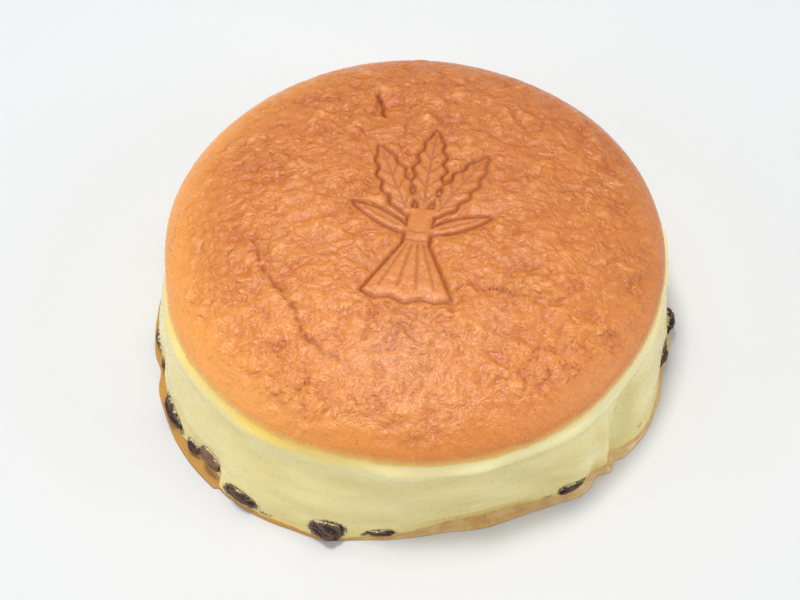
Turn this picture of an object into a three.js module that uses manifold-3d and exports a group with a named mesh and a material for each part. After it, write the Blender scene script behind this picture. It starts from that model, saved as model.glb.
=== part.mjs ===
// A round souffle cheesecake with raisins, as it stands after it is turned out of its tin.
// Millimetres, +Z up, the origin under the middle of its base, the front towards -Y.
// The cake is one solid: a domed crust over a soft wall that sags out to a thin browned skin at the foot.
// The raisins have sunk to the bottom of the batter, so each one sits in a pocket of its own in the foot of the wall.

import * as THREE from "three";
import { mergeVertices } from "three/addons/utils/BufferGeometryUtils.js";
import Module from "manifold-3d";

const wasm = await Module();
wasm.setup();

// Driving dimensions of the cake.
const CAKE_HEIGHT = 59;
const CRUST_EDGE_HEIGHT = 41;
const CRUST_EDGE_RADIUS = 86;
const FOOT_RADIUS = 93;
const DOME_SHOULDER = 2.7; // the power of the dome's curve: 2 is an ellipse, and more has a fuller shoulder
const SEGMENTS = 90;
const DOME_RINGS = 7;

// The wall between the foot and the crust, with a low ridge round it under the crust and a hollow below that.
const WALL_BEND = 1.4; // the power by which it turns from the foot's line to the crust's
const WALL_RING_HEIGHTS = [4, 10, 18, 25, 32, 37];
const RIDGE_PROUD = 1.2;
const RIDGE_HEIGHT = 36.4;
const RIDGE_SPREAD = 3.4;
const HOLLOW_DEPTH = 1;
const HOLLOW_HEIGHT = 29;
const HOLLOW_SPREAD = 6.5;
const FOLD_RISE = 1.15; // a fold fades out this much faster than the wall rises
const FOLD_SOFTNESS = 0.6;

// The browned skin at the foot.
const LIP_UNDERCUT = 1.6;
const LIP_HEIGHT = 0.9;
const LIP_PROUD = 1; // how far its edge stands out of the wall above it
const LIP_FADE = 2; // the power by which a wide lip's step dies out up the wall

// Raisins.
const POCKET_GAP = 0.35;
const RAISIN_AROUND = 8;
const RAISIN_DOWN = 6;
const PLEATS = 4;
const PLEAT_DEPTH = 0.07;
const RAISIN_TAPER = 0.14;
const RAISIN_LEAN = 5; // degrees
const RAISIN_TWIST = 2.4; // radians from each raisin's pleats to the next one's

// The wheat sheaf that is branded into the crust.
const MARK_X = 3.3;
const MARK_Y = 1.6;
const MARK_TILT = 10.7; // degrees, its top leaning to the right
const MARK_LINE = 1.3;
const MARK_DEPTH = 0.9;
const MARK_TOOL_LENGTH = 30;

const { cos, sin, PI, exp, hypot, atan2, max, min, sign } = Math;
const radians = (degrees) => (degrees * PI) / 180;
const TINY = 1e-6;

// A smooth rise and fall of height 1 round an angle, in degrees from the front, positive to the right.
function hump(angle, at, wide) {
  const away = ((((angle - at) % 360) + 540) % 360) - 180;
  return exp(-((away / wide) ** 2));
}

// How far the foot's lip stands out of, or in from, a true circle.
const FOOT_LOBES = [
  { at: -48, by: 4.9, wide: 27 },
  { at: 10, by: -5, wide: 24 },
  { at: -77, by: -1.6, wide: 3 },
  { at: -20, by: 1.5, wide: 5 },
  { at: 13, by: 1.1, wide: 6 },
  { at: 35, by: 1.6, wide: 4 },
  { at: 40.8, by: -1.2, wide: 2 },
  { at: 44, by: 0.8, wide: 1.6 },
  { at: 46.4, by: -1.5, wide: 1.5 },
  { at: 56, by: 1.3, wide: 6 },
  { at: 73, by: -1.5, wide: 6 },
  { at: 96, by: -1.2, wide: 14 },
  { at: 140, by: 1.6, wide: 20 },
  { at: 171, by: -1.4, wide: 9 },
  { at: -131, by: 1.8, wide: 16 },
  { at: -104, by: -1, wide: 5 },
];

// The same for the edge of the crust, which keeps closer to the round of the tin.
const CRUST_LOBES = [
  { at: -85, by: -1.6, wide: 14 },
  { at: -14, by: -1, wide: 11 },
  { at: 30, by: 0.8, wide: 16 },
  { at: 150, by: -0.9, wide: 22 },
];

// Where the skin's lip is wider than LIP_PROUD.
const WIDE_LIPS = [
  { at: -50, by: 3.2, wide: 7 },
  { at: -68, by: 1.2, wide: 14 },
  { at: -26, by: -0.4, wide: 18 },
  { at: 14, by: 1.6, wide: 12 },
];

const lobed = (angle, lobes) =>
  lobes.reduce((sum, l) => sum + l.by * hump(angle, l.at, l.wide), 0);

// Folds in the wall. Each runs from one angle at the foot to another under the crust, its right side deeper.
const WALL_FOLDS = [
  { foot: 45, top: 53, deep: 2.6, wide: 4 },
  { foot: 36, top: 4, deep: 1.3, wide: 7 },
  { foot: -128, top: -112, deep: 1.5, wide: 6 },
  { foot: 150, top: 138, deep: 1.8, wide: 6 },
];

const shareUp = (height) => min(max(height / CRUST_EDGE_HEIGHT, 0), 1);

function foldDepth(angle, height) {
  const up = shareUp(height);
  const strength = sin(PI * min(up * FOLD_RISE, 1)) ** FOLD_SOFTNESS;
  return WALL_FOLDS.reduce((sum, f) => {
    const middle = f.foot + (f.top - f.foot) * up;
    return sum + f.deep * strength * hump(angle, middle + f.wide / 2, f.wide);
  }, 0);
}

// The dimple near the back of the crust, and the low swells round it.
const DIMPLE = { x: -8, y: 51, deep: 2.6, wide: 7.5 };
const SWELLS = [
  { x: -38, y: 8, by: 0.9, wide: 24 },
  { x: 42, y: -22, by: 0.8, wide: 26 },
  { x: 4, y: 2, by: -1.1, wide: 30 },
];

function domeRelief(x, y) {
  const at = (p) => exp(-((hypot(x - p.x, y - p.y) / p.wide) ** 2));
  return SWELLS.reduce((sum, s) => sum + s.by * at(s), 0) - DIMPLE.deep * at(DIMPLE);
}

// The wall's radius at a height, before its lobes and folds.
function wallLine(height) {
  const up = shareUp(height);
  const low = (1 - up) ** WALL_BEND;
  const high = up ** WALL_BEND;
  const foot = FOOT_RADIUS - LIP_PROUD;
  const edgeless = min(max((CRUST_EDGE_HEIGHT - height) / RIDGE_SPREAD, 0), 1);
  const ridge = RIDGE_PROUD * edgeless * exp(-(((height - RIDGE_HEIGHT) / RIDGE_SPREAD) ** 2));
  const hollow = HOLLOW_DEPTH * exp(-(((height - HOLLOW_HEIGHT) / HOLLOW_SPREAD) ** 2));
  const middle = (foot + CRUST_EDGE_RADIUS) / 2;
  return foot * low + CRUST_EDGE_RADIUS * high + (1 - low - high) * middle + ridge - hollow;
}

// Half of the cake's section, from the middle of its base to the top of the dome.
function section() {
  const points = [
    [0, 0],
    [FOOT_RADIUS - LIP_UNDERCUT, 0],
    [FOOT_RADIUS, LIP_HEIGHT],
    ...WALL_RING_HEIGHTS.map((height) => [wallLine(height), height]),
    [CRUST_EDGE_RADIUS, CRUST_EDGE_HEIGHT],
  ];
  const rise = CAKE_HEIGHT - CRUST_EDGE_HEIGHT;
  for (let ring = 1; ring < DOME_RINGS; ring++) {
    const turn = (PI / 2) * (ring / DOME_RINGS);
    points.push([CRUST_EDGE_RADIUS * cos(turn) ** (2 / DOME_SHOULDER), CRUST_EDGE_HEIGHT + rise * sin(turn)]);
  }
  points.push([0, CAKE_HEIGHT]);
  return points.map(([r, z]) => new THREE.Vector2(r, z));
}

// How far a point of the wall moves out from the true round section.
function wallShift(angle, height) {
  const up = shareUp(height);
  const low = (1 - up) ** WALL_BEND;
  const high = up ** WALL_BEND;
  const wideLip = height > LIP_HEIGHT + TINY ? lobed(angle, WIDE_LIPS) * (1 - up) ** LIP_FADE : 0;
  return lobed(angle, FOOT_LOBES) * low + lobed(angle, CRUST_LOBES) * high - foldDepth(angle, height) - wideLip;
}

function moved(geometry, move) {
  const at = geometry.getAttribute("position");
  const v = new THREE.Vector3();
  for (let i = 0; i < at.count; i++) {
    v.fromBufferAttribute(at, i);
    move(v);
    at.setXYZ(i, v.x, v.y, v.z);
  }
  return geometry;
}

function cakeGeometry() {
  const turned = new THREE.LatheGeometry(section(), SEGMENTS).rotateX(PI / 2);
  return moved(turned, (v) => {
    const r = hypot(v.x, v.y);
    const onDome = v.z >= CRUST_EDGE_HEIGHT - TINY;
    if (r > TINY) {
      const angle = (atan2(v.x, -v.y) * 180) / PI;
      const share = onDome ? r / CRUST_EDGE_RADIUS : 1;
      const out = r + wallShift(angle, v.z) * share ** 3;
      v.x *= out / r;
      v.y *= out / r;
    }
    if (onDome) v.z += domeRelief(v.x, v.y) * (1 - (r / CRUST_EDGE_RADIUS) ** 6);
  });
}

// The radius of the cake's wall at an angle and height.
const wallRadius = (angle, height) => wallLine(height) + wallShift(angle, height);

// Raisins, by their angle from the front. They are long round the cake, tall upwards and deep into it,
// and each one's face stands out of the wall by its proud value.
const RAISINS = [
  { at: -84.2, up: 4.6, long: 10, tall: 5.6, deep: 5.2, proud: 1.1 },
  { at: -76.4, up: 4.6, long: 6.5, tall: 4.4, deep: 4.4, proud: 1.2 },
  { at: -64, up: 4.8, long: 15.5, tall: 7.6, deep: 6.4, proud: 2.2 },
  { at: -54.6, up: 4, long: 6.4, tall: 5, deep: 5, proud: 2.4 },
  { at: -49, up: 7.4, long: 10.4, tall: 7, deep: 5.6, proud: 2.5 },
  { at: -39, up: 4.2, long: 12.6, tall: 6.6, deep: 5.6, proud: 1.9 },
  { at: -19.6, up: 5, long: 11.8, tall: 8.2, deep: 6.4, proud: 2.6 },
  { at: -9.1, up: 2.8, long: 9.5, tall: 3.8, deep: 4.4, proud: 1.1 },
  { at: 34.4, up: 4.6, long: 9.6, tall: 5.6, deep: 5.4, proud: 1.3 },
  { at: 75.3, up: 5.2, long: 12, tall: 7.2, deep: 6.6, proud: 1.5 },
  { at: 83.9, up: 6.2, long: 11, tall: 7.4, deep: 6.8, proud: 2.8 },
  { at: 104, up: 5, long: 11, tall: 6, deep: 6.4, proud: 1.2 },
  { at: 127, up: 5.8, long: 13, tall: 7, deep: 7, proud: 1.6 },
  { at: 146, up: 4.6, long: 9.5, tall: 5.4, deep: 6, proud: 0.8 },
  { at: 179, up: 6, long: 12.5, tall: 7.4, deep: 7, proud: 1.8 },
  { at: -158, up: 5, long: 10.5, tall: 5.8, deep: 6, proud: 1 },
  { at: -137, up: 5.8, long: 13.5, tall: 6.8, deep: 7, proud: 1.5 },
  { at: -110, up: 5.2, long: 11.5, tall: 6.2, deep: 6.4, proud: 1.3 },
];

// A raisin is a plump lengthways-pleated drop. grow widens it all round, for the pocket that it sits in.
function raisinGeometry(raisin, index, grow) {
  const ball = new THREE.SphereGeometry(1, RAISIN_AROUND, RAISIN_DOWN).rotateZ(PI / 2);
  const turn = index * RAISIN_TWIST;
  const half = [raisin.long / 2 + grow, raisin.deep / 2 + grow, raisin.tall / 2 + grow];
  moved(ball, (v) => {
    const round = atan2(v.z, v.y);
    const pleat = 1 - PLEAT_DEPTH * (1 + cos(PLEATS * round + turn)) * (1 - v.x * v.x);
    const taper = 1 - RAISIN_TAPER * v.x * sign(sin(turn));
    v.set(v.x * half[0], v.y * half[1] * pleat * taper, v.z * half[2] * pleat * taper);
  });
  return ball;
}

function placeRaisin(object, raisin, index) {
  const radius = wallRadius(raisin.at, raisin.up) + raisin.proud - raisin.deep / 2;
  const a = radians(raisin.at);
  object.position.set(radius * sin(a), -radius * cos(a), raisin.up);
  object.rotation.set(0, radians(RAISIN_LEAN) * sin(index * 1.9), a, "ZYX");
  object.updateMatrixWorld(true);
  return object;
}

// Solids for the boolean cuts.
function solidOf(geometry) {
  const bare = geometry.clone();
  bare.deleteAttribute("normal");
  bare.deleteAttribute("uv");
  const merged = mergeVertices(bare, 1e-3);
  return new wasm.Manifold(
    new wasm.Mesh({
      numProp: 3,
      vertProperties: merged.getAttribute("position").array,
      triVerts: new Uint32Array(merged.index.array),
    }),
  );
}

function geometryOf(solid) {
  const mesh = solid.getMesh();
  const geometry = new THREE.BufferGeometry();
  geometry.setAttribute("position", new THREE.BufferAttribute(mesh.vertProperties, 3));
  geometry.setIndex(new THREE.BufferAttribute(mesh.triVerts, 1));
  geometry.computeVertexNormals();
  return geometry;
}

// The branded sheaf, in its own plane: u to the right and v up, from its middle.
// Three ears and two leaves spring from the tie, and the cut stalks spread below it.
const TIE_V = -9;
const GRAIN_NOTCH = 0.16; // how far the edge draws in between two grains, as a share of the half width
const EARS = [
  { lean: -27, from: 9, length: 33, half: 5.6, grains: 5 },
  { lean: 0, from: 10, length: 37, half: 6, grains: 6 },
  { lean: 27, from: 9, length: 33, half: 5.6, grains: 5 },
];
const LEAVES = [
  { lean: -66, from: 2, length: 24, half: 2.8, grains: 0 },
  { lean: 66, from: 2, length: 24, half: 2.8, grains: 0 },
];
const STALK_WIDTH = 9;
const STALK_SPREAD = 30;
const STALK_END_V = -36;

// An ear or a leaf as an outline: a long drop along its own line, its edge scalloped by the grains.
function bladeShape(blade, grow) {
  const steps = max(6, blade.grains * 2);
  const start = blade.from - grow;
  const length = blade.length + 2 * grow;
  const side = [];
  for (let i = 1; i < steps; i++) {
    const t = i / steps;
    const scallop = 1 - GRAIN_NOTCH * (1 - cos(2 * PI * t * blade.grains)) * (blade.grains ? 1 : 0);
    side.push([start + t * length, blade.half * sin(PI * t ** 0.85) ** 0.7 * scallop + grow]);
  }
  const outline = [[start, 0], ...side, [start + length, 0], ...side.reverse().map(([l, w]) => [l, -w])];
  const lean = radians(blade.lean);
  return outline.map(
    ([l, w]) => new THREE.Vector2(l * sin(lean) + w * cos(lean), TIE_V + l * cos(lean) - w * sin(lean)),
  );
}

// The stalks: narrow at the tie, spread at their cut ends, and running up into the ears.
function stalkShape(grow) {
  const top = STALK_WIDTH / 2 + grow;
  const foot = STALK_SPREAD / 2 + grow;
  return [
    [top, TIE_V + 12 + grow],
    [-top, TIE_V + 12 + grow],
    [-STALK_WIDTH / 2 - grow, TIE_V - 4],
    [-foot, STALK_END_V + 2 - grow],
    [0, STALK_END_V - 1.5 - grow],
    [foot, STALK_END_V + 2 - grow],
    [STALK_WIDTH / 2 + grow, TIE_V - 4],
  ].map(([u, v]) => new THREE.Vector2(u, v));
}

function sheafPrism(grow) {
  const outlines = [...EARS, ...LEAVES].map((blade) => bladeShape(blade, grow));
  outlines.push(stalkShape(grow));
  const prisms = outlines.map((points) => {
    const shape = new THREE.Shape(points);
    const block = new THREE.ExtrudeGeometry(shape, { depth: MARK_TOOL_LENGTH, bevelEnabled: false, steps: 1 });
    block.rotateZ(-radians(MARK_TILT)).translate(MARK_X, MARK_Y, CAKE_HEIGHT - MARK_TOOL_LENGTH / 2);
    return solidOf(block);
  });
  return prisms.reduce((whole, next) => whole.add(next));
}

// The branded line goes one depth down everywhere: its tool is trimmed by the cake itself, lowered by that depth.
function branded(cake) {
  const line = sheafPrism(MARK_LINE / 2).subtract(sheafPrism(-MARK_LINE / 2));
  return cake.subtract(line.subtract(cake.translate([0, 0, -MARK_DEPTH])));
}

const materials = {
  cake: new THREE.MeshStandardMaterial({ color: 0xdc8c52, roughness: 0.55, metalness: 0 }),
  raisin: new THREE.MeshStandardMaterial({ color: 0x3a2a22, roughness: 0.4, metalness: 0 }),
};

const cheesecake = new THREE.Group();
let cakeSolid = branded(solidOf(cakeGeometry()));

RAISINS.forEach((raisin, index) => {
  const pocket = placeRaisin(new THREE.Object3D(), raisin, index);
  const hole = raisinGeometry(raisin, index, POCKET_GAP).applyMatrix4(pocket.matrixWorld);
  cakeSolid = cakeSolid.subtract(solidOf(hole));
  const mesh = new THREE.Mesh(raisinGeometry(raisin, index, 0), materials.raisin);
  mesh.name = "raisin_" + String(index + 1).padStart(2, "0");
  cheesecake.add(placeRaisin(mesh, raisin, index));
});

const cake = new THREE.Mesh(geometryOf(cakeSolid), materials.cake);
cake.name = "cake";
cheesecake.add(cake);

// The origin is under the middle of the whole cake's box.
const box = new THREE.Box3().setFromObject(cheesecake, true);
const middle = box.getCenter(new THREE.Vector3());
cheesecake.position.set(-middle.x, -middle.y, -box.min.z);

export default cheesecake;
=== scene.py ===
import bpy
import numpy as np
from mathutils import Matrix, Vector, noise


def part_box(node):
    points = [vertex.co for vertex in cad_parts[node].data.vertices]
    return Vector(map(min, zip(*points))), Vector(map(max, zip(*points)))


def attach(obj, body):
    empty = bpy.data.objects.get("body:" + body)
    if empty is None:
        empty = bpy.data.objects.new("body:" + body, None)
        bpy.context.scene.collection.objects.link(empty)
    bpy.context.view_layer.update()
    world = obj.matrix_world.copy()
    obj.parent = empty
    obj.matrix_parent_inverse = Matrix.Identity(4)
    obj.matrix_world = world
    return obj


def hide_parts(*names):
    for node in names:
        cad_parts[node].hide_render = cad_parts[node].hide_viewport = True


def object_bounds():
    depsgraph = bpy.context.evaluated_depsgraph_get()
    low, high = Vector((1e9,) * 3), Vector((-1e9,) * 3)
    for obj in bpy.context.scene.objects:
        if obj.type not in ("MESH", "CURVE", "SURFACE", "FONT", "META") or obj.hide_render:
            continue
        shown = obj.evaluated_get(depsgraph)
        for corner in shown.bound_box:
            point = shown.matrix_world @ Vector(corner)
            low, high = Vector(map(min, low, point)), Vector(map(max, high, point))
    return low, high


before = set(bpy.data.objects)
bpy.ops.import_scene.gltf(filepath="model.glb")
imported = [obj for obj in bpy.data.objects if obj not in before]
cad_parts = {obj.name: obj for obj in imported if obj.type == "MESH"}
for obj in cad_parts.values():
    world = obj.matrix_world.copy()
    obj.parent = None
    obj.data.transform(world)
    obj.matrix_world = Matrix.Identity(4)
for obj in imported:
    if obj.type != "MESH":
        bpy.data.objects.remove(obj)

cad_low, cad_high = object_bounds()
scene = bpy.context.scene


# The tabletop and the light.
# A pale matt sheet under one wide lamp overhead, softer ones behind and at the sides, and an even
# room light.
MM = 0.001  # the sizes in this file are in millimetres, and the meshes in metres
TABLE_SIDE = 6.0
TABLE_PALE = (0.72, 0.722, 0.728)
TABLE_ROUGHNESS = 0.9
TABLE_SHINE = 0.1
ROOM_TINT = (0.955, 0.977, 1.0)
ROOM_LIGHT = 0.58
SIDE_LAMP_TINT = (1.0, 0.99, 0.975)
LAMPS = (
    ("overhead_lamp", (-0.12, 0.05, 1.0), 0.2, 5.15, (1.0, 0.993, 0.975)),
    ("back_lamp", (-0.02, 0.22, 0.97), 0.1, 0.9, (0.97, 0.985, 1.0)),
    ("left_lamp", (-1.0, -0.35, 0.5), 0.6, 2.0, SIDE_LAMP_TINT),
    ("right_lamp", (1.0, -0.3, 0.5), 0.6, 2.4, SIDE_LAMP_TINT),
)  # name, place and side in metres, watts, tint

bpy.ops.mesh.primitive_grid_add(size=TABLE_SIDE, x_subdivisions=2, y_subdivisions=2)
table = bpy.context.object
table.name = "table"
table_paper = bpy.data.materials.new("pale_paper")
table_paper.use_nodes = True
paper = table_paper.node_tree.nodes["Principled BSDF"]
paper.inputs["Base Color"].default_value = (*TABLE_PALE, 1)
paper.inputs["Roughness"].default_value = TABLE_ROUGHNESS
paper.inputs["Specular IOR Level"].default_value = TABLE_SHINE
table.data.materials.append(table_paper)

world = bpy.data.worlds.new("room")
world.use_nodes = True
sky = world.node_tree.nodes["Background"]
sky.inputs["Color"].default_value = (*ROOM_TINT, 1)
sky.inputs["Strength"].default_value = ROOM_LIGHT
scene.world = world
scene.view_settings.view_transform = "Standard"

for name, place, side, watts, tint in LAMPS:
    light = bpy.data.lights.new(name, "AREA")
    light.size = side
    light.energy = watts
    light.color = tint
    holder = bpy.data.objects.new(name, light)
    scene.collection.objects.link(holder)
    holder.location = place
    holder.rotation_euler = (-Vector(place)).to_track_quat("-Z", "Y").to_euler()


# The camera.
# It stands in front of the cake and looks down on it, a little left of its middle.
LENS = 72
SENSOR = 36
LOOKS_DOWN = np.radians(54.35)
LEANS = np.radians(-1.81)
AWAY = 572.0
LOOKS_AT = (-4.8, 0.0, 10.3)  # from the tin's axis, on the table
TIN_AXIS = (0.35, -1.0)  # from the middle of the cake's box, because the foot sags unevenly

back = Vector((0, -np.cos(LOOKS_DOWN), np.sin(LOOKS_DOWN)))
right = Vector((1, 0, 0))
up = back.cross(right)
leaning_right = right * np.cos(LEANS) + up * np.sin(LEANS)
leaning_up = up * np.cos(LEANS) - right * np.sin(LEANS)
box_middle = (Vector(cad_low) + Vector(cad_high)) / 2
axis = Vector((box_middle.x + TIN_AXIS[0] * MM, box_middle.y + TIN_AXIS[1] * MM, cad_low[2]))

camera_data = bpy.data.cameras.new("camera")
camera_data.lens = LENS
camera_data.sensor_width = SENSOR
camera = bpy.data.objects.new("camera", camera_data)
scene.collection.objects.link(camera)
stands_at = axis + Vector(LOOKS_AT) * MM + back * (AWAY * MM)
facing = Matrix((leaning_right, leaning_up, back)).transposed().to_4x4()
camera.matrix_world = Matrix.Translation(stands_at) @ facing
scene.camera = camera


# The cake, one soft solid of set batter that stands on its own browned skin. Its dome is a thin leathery
# crust, its wall pale and moist, sagging out to the foot. Angles are in degrees from the front, positive
# to the right, and x, y and z are in millimetres from the tin's axis and the table.
cake_low, cake_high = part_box("cake")
HEIGHT = (cake_high[2] - cake_low[2]) / MM
ACROSS = (cake_high[0] - cake_low[0]) / MM
EDGE_HEIGHT = 0.6957 * HEIGHT  # of the crust's edge
EDGE_RADIUS = 0.4634 * ACROSS
FOOT_RADIUS = 0.5011 * ACROSS
SHOULDER = 2.7  # the power of the dome's curve
LIP_PROUD = 1.0  # how far the browned skin stands out of the wall
LIP_THICK = 0.8
UNDERCUT = 1.6

FOOT_LOBES = (
    (-48, 4.9, 27), (10, -5, 24), (-77, -1.6, 3), (-20, 1.5, 5), (13, 1.1, 6), (35, 1.6, 4), (40.8, -1.2, 2),
    (44, 0.8, 1.6), (46.4, -1.5, 1.5), (56, 1.3, 6), (73, -1.5, 6), (96, -1.2, 14), (140, 1.6, 20),
    (171, -1.4, 9), (-131, 1.8, 16), (-104, -1, 5),
)
WIDE_LIPS = ((-50, 3.2, 7), (-68, 1.2, 14), (-26, -0.7, 18), (14, 2.6, 12))
EDGE_LOBES = ((-85, -1.6, 14), (-14, -1, 11), (30, 0.8, 16), (150, -0.9, 22))


def hump(angle, at, wide):
    """A smooth rise and fall of height 1 round an angle."""
    away = (angle - at + 180) % 360 - 180
    return np.exp(-((away / wide) ** 2))


def lobed(angle, lobes):
    """The sum of several humps, each given as its angle, height and width."""
    return sum(by * hump(angle, at, wide) for at, by, wide in lobes)


def smooth_step(value, low, high):
    """Rises smoothly from 0 at low to 1 at high."""
    t = np.clip((value - low) / (high - low), 0, 1)
    return t * t * (3 - 2 * t)


HILL_SEED_STEP = Vector((17.3, 5.1, 9.7))
HILL_GAIN = 1.6  # brings plain noise to about 1 high
ROUGH_HILL_GAIN = 1.3


def hills(points, size, seed, octaves=1):
    """Smooth random hills, about 1 high and size apart, at each of the points."""
    shift = HILL_SEED_STEP * seed
    scaled = points / size
    if octaves == 1:
        return np.array([noise.noise(Vector(p) + shift) for p in scaled]) * HILL_GAIN
    return np.array([noise.fractal(Vector(p) + shift, 1.0, 2.0, octaves) for p in scaled]) * ROUGH_HILL_GAIN


COBBLE_SEED_STEP = Vector((8.1, 2.3, 14.6))
COBBLE_BORDER = 0.62  # where a cobble's side reaches 0, in cells from its top


def cobbles(points, size, seed):
    """Rounded bumps packed side by side, 1 at their tops and below 0 in the creases between them."""
    shift = COBBLE_SEED_STEP * seed
    found = np.array([noise.voronoi(Vector(p) + shift)[0][0] for p in points / size])
    return 1 - (found / COBBLE_BORDER) ** 2


FAR_AWAY = 1e9


def line_distance(x, y, line):
    """Distance from each point to a run of straight lines, and how far along it that is, from 0 to 1."""
    best = np.full(x.shape, FAR_AWAY)
    along = np.zeros(x.shape)
    steps = len(line) - 1
    for k in range(steps):
        (ax, ay), (bx, by) = line[k], line[k + 1]
        dx, dy = bx - ax, by - ay
        t = np.clip(((x - ax) * dx + (y - ay) * dy) / (dx * dx + dy * dy), 0, 1)
        distance = np.hypot(x - ax - t * dx, y - ay - t * dy)
        nearer = distance < best
        best = np.where(nearer, distance, best)
        along = np.where(nearer, (k + t) / steps, along)
    return best, along


# The sheaf is branded into the crust while it is warm: a deep line round it, and finer ones inside.
MARK_AT = (3.3, 1.6)
MARK_TILT = np.radians(10.7)
TIE_V = -9
EARS = (
    (-27, 9, 33, 5.6, 5), (0, 10, 37, 6.0, 6), (27, 9, 33, 5.6, 5),
)  # lean, start, length, half width, grains
LEAVES = ((-66, 2, 24, 2.8, 0), (66, 2, 24, 2.8, 0))
BLADE_POINTS = 61
BLADE_BELLY = 0.85  # the power that moves an ear's widest place towards its foot
BLADE_PLUMP = 0.7
GRAIN_NOTCH = 0.13
STALK_WIDTH = 9
STALK_SPREAD = 30
STALK_TOP = 12  # above the tie
STALK_NECK = 4  # below the tie, where the stalks start to spread
STALK_END_V = -36
STRAW_ENDS = 7
STRAW_STEP = 1.6
STRAW_ARCH = 0.5


def blade_outline(lean, start, length, half, grains):
    """An ear or a leaf: a long drop along its own line, its edge scalloped by the grains."""
    t = np.linspace(0, 1, BLADE_POINTS)
    scallop = 1 - GRAIN_NOTCH * (1 - np.cos(2 * np.pi * t * grains)) if grains else 1
    wide = half * np.sin(np.pi * t**BLADE_BELLY) ** BLADE_PLUMP * scallop
    along = np.concatenate([start + t * length, (start + t * length)[::-1]])
    aside = np.concatenate([wide, -wide[::-1]])
    return leaned(along, aside, lean)


def leaned(along, aside, lean):
    """Points given along and beside a line that leans out from the tie."""
    turn = np.radians(lean)
    u = along * np.sin(turn) + aside * np.cos(turn)
    v = TIE_V + along * np.cos(turn) - aside * np.sin(turn)
    return list(zip(u, v))


def stalk_outline():
    """The tied stalks, spread below the tie and cut off unevenly."""
    half, foot = STALK_WIDTH / 2, STALK_SPREAD / 2
    last = STRAW_ENDS - 1
    cut = [
        (foot * (1 - 2 * s / last), STALK_END_V + 2 - STRAW_STEP * (s % 2) - STRAW_ARCH * min(s, last - s))
        for s in range(STRAW_ENDS)
    ]
    top, neck = TIE_V + STALK_TOP, TIE_V - STALK_NECK
    return [(half, top), (half, neck), *cut, (-half, neck), (-half, top)]


def inside(x, y, outline):
    """Which points lie inside a closed outline."""
    found = np.zeros(x.shape, bool)
    for (ax, ay), (bx, by) in zip(outline, outline[1:] + outline[:1]):
        if ay != by:
            crosses = (ay > y) != (by > y)
            found ^= crosses & (x < (bx - ax) * (y - ay) / (by - ay) + ax)
    return found


def sheaf_distance(u, v):
    """Distance to the sheaf's outline, negative inside it."""
    whole = np.full(u.shape, FAR_AWAY)
    for outline in [blade_outline(*blade) for blade in EARS + LEAVES] + [stalk_outline()]:
        away = line_distance(u, v, outline + outline[:1])[0]
        whole = np.minimum(whole, np.where(inside(u, v, outline), -away, away))
    return whole


RIB_INSET = 3  # how far an ear's rib stays from its ends
VEIN_INSETS = (6, 5)
GRAIN_LINE = ((-1.5, 0.4), (2.2, 0.62))  # each end: along the ear, and beside it, the last in half widths
TIE_LINES = (1.6, -2.2)  # above and below the tie's middle
TIE_SAG = 0.8
STRAWS = (-0.62, -0.22, 0.2, 0.6)  # in half widths of the stalks


def sheaf_inner_lines():
    """The fine lines: a rib and slanting grains in each ear, a vein in each leaf, the tie, and the stalks."""
    lines = []
    (grain_start, beside_start), (grain_end, beside_end) = GRAIN_LINE
    for lean, start, length, half, grains in EARS:
        lines.append(leaned(np.array([start + RIB_INSET, start + length - RIB_INSET]), np.zeros(2), lean))
        for g in range(1, grains):
            at = start + length * g / grains
            along = np.array([at + grain_start, at + grain_end])
            for side in (-1, 1):
                lines.append(leaned(along, side * np.array([beside_start, half * beside_end]), lean))
    for lean, start, length, half, _ in LEAVES:
        ends = np.array([start + VEIN_INSETS[0], start + length - VEIN_INSETS[1]])
        lines.append(leaned(ends, np.zeros(2), lean))
    half = STALK_WIDTH / 2 + 0.4
    for above in TIE_LINES:
        v = TIE_V + above
        lines.append([(-half, v), (0, v - TIE_SAG), (half, v)])
    for s in STRAWS:
        lines.append([(s * STALK_WIDTH / 2, TIE_V - 4.4), (s * STALK_SPREAD / 2, STALK_END_V + 5)])
    return lines


BRAND_LINE = 0.5  # half widths of the deep line and of the fine ones
FINE_LINE = 0.45
PILLOW_REACH = 2.4  # how far the crust dips beside the deep line
SMOOTHED = (-1.0, 3.5)  # the iron presses the crust smooth up to here, from inside the outline to outside it


def branded(x, y):
    """How deep the sheaf's lines go at each point, and how much the crust is pressed smooth around them."""
    du, dv = x - MARK_AT[0], y - MARK_AT[1]
    u = du * np.cos(MARK_TILT) - dv * np.sin(MARK_TILT)
    v = du * np.sin(MARK_TILT) + dv * np.cos(MARK_TILT)
    away = sheaf_distance(u, v)
    cut = np.exp(-((away / BRAND_LINE) ** 2))
    pillow = np.exp(-abs(away) / PILLOW_REACH)
    fine = np.zeros(x.shape)
    for line in sheaf_inner_lines():
        near = line_distance(u, v, line)[0]
        fine = np.maximum(fine, np.exp(-((near / FINE_LINE) ** 2)))
    smoothed = 1 - smooth_step(away, *SMOOTHED)
    return cut, pillow, fine, smoothed


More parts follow.
